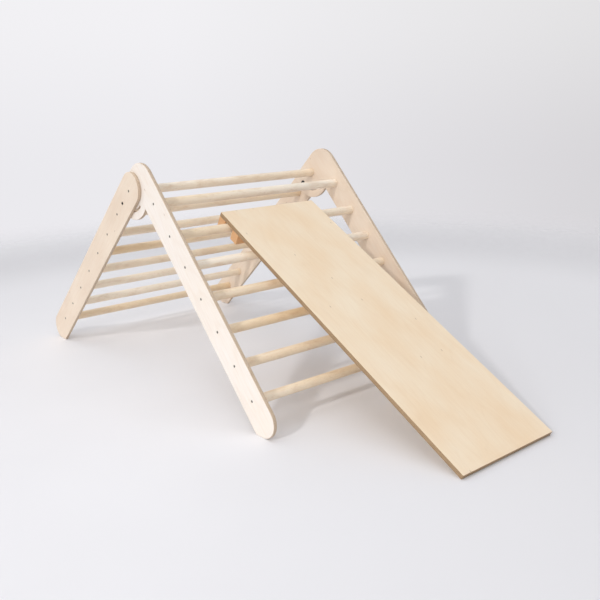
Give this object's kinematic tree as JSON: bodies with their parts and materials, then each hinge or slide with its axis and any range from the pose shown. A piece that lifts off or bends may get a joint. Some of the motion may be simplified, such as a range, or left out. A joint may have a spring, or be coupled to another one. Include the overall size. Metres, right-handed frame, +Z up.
{
  "type": "toddler slide",
  "caption": "Folding climbing triangle of two rung ladders hinged at the top, with a plywood slide board hooked on a rung.",
  "frame": {"origin": "on the floor, midway along and across the whole object", "axes": "+X the way the slide descends, +Y to the left of a child sitting on it, +Z up"},
  "size_m": [1.9424, 0.822, 0.7474],
  "materials": {
    "birch_plywood": "clear matt lacquer on birch plywood, layered edges",
    "board_plywood": "smooth satin lacquer on birch plywood",
    "beech": "sanded beech dowel, clear satin lacquer",
    "pine": "planed orange-brown softwood",
    "zinc_plated_steel": "zinc-plated countersunk screws, dull",
    "black_steel": "black oxide steel, satin"
  },
  "bodies": {
    "front_ladder": {"front_panel_left": "birch_plywood", "front_panel_right": "birch_plywood", "front_rung_1": "beech", "front_rung_2": "beech", "front_rung_3": "beech", "front_rung_4": "beech", "front_rung_5": "beech", "front_rung_6": "beech", "front_rung_7": "beech", "front_rung_screws": "zinc_plated_steel"},
    "back_ladder": {"back_panel_left": "birch_plywood", "back_panel_right": "birch_plywood", "hinge_rung": "beech", "back_rung_2": "beech", "back_rung_3": "beech", "back_rung_4": "beech", "back_rung_5": "beech", "back_rung_6": "beech", "back_rung_7": "beech", "back_rung_8": "beech", "back_rung_screws": "zinc_plated_steel", "lock_washers": "black_steel", "lock_nuts": "black_steel"},
    "slide": {"slide_board": "board_plywood", "hook_batten_upper": "pine", "hook_batten_lower": "pine", "batten_screws": "zinc_plated_steel"},
    "lock_bolt_left": {"lock_bolt_left": "black_steel"},
    "lock_bolt_right": {"lock_bolt_right": "black_steel"}
  },
  "joints": [
    {"name": "fold", "type": "hinge", "parent": "front_ladder", "child": "back_ladder", "pos_m": [-0.24628, 0, 0.65397], "axis": [0, -1, 0], "range_deg": [0, 90.5]},
    {"name": "slide_lift", "type": "slide", "parent": "front_ladder", "child": "slide", "axis": [0.4838, 0, 0.8752], "range_m": [0, 0.3]},
    {"name": "lock_bolt_left_turn", "type": "hinge", "parent": "back_ladder", "child": "lock_bolt_left", "pos_m": [-0.29527, 0.402, 0.60975], "axis": [0, 1, 0], "range_deg": [0, 720]},
    {"name": "lock_bolt_right_turn", "type": "hinge", "parent": "back_ladder", "child": "lock_bolt_right", "pos_m": [-0.29527, -0.402, 0.60975], "axis": [0, -1, 0], "range_deg": [0, 720]}
  ]
}
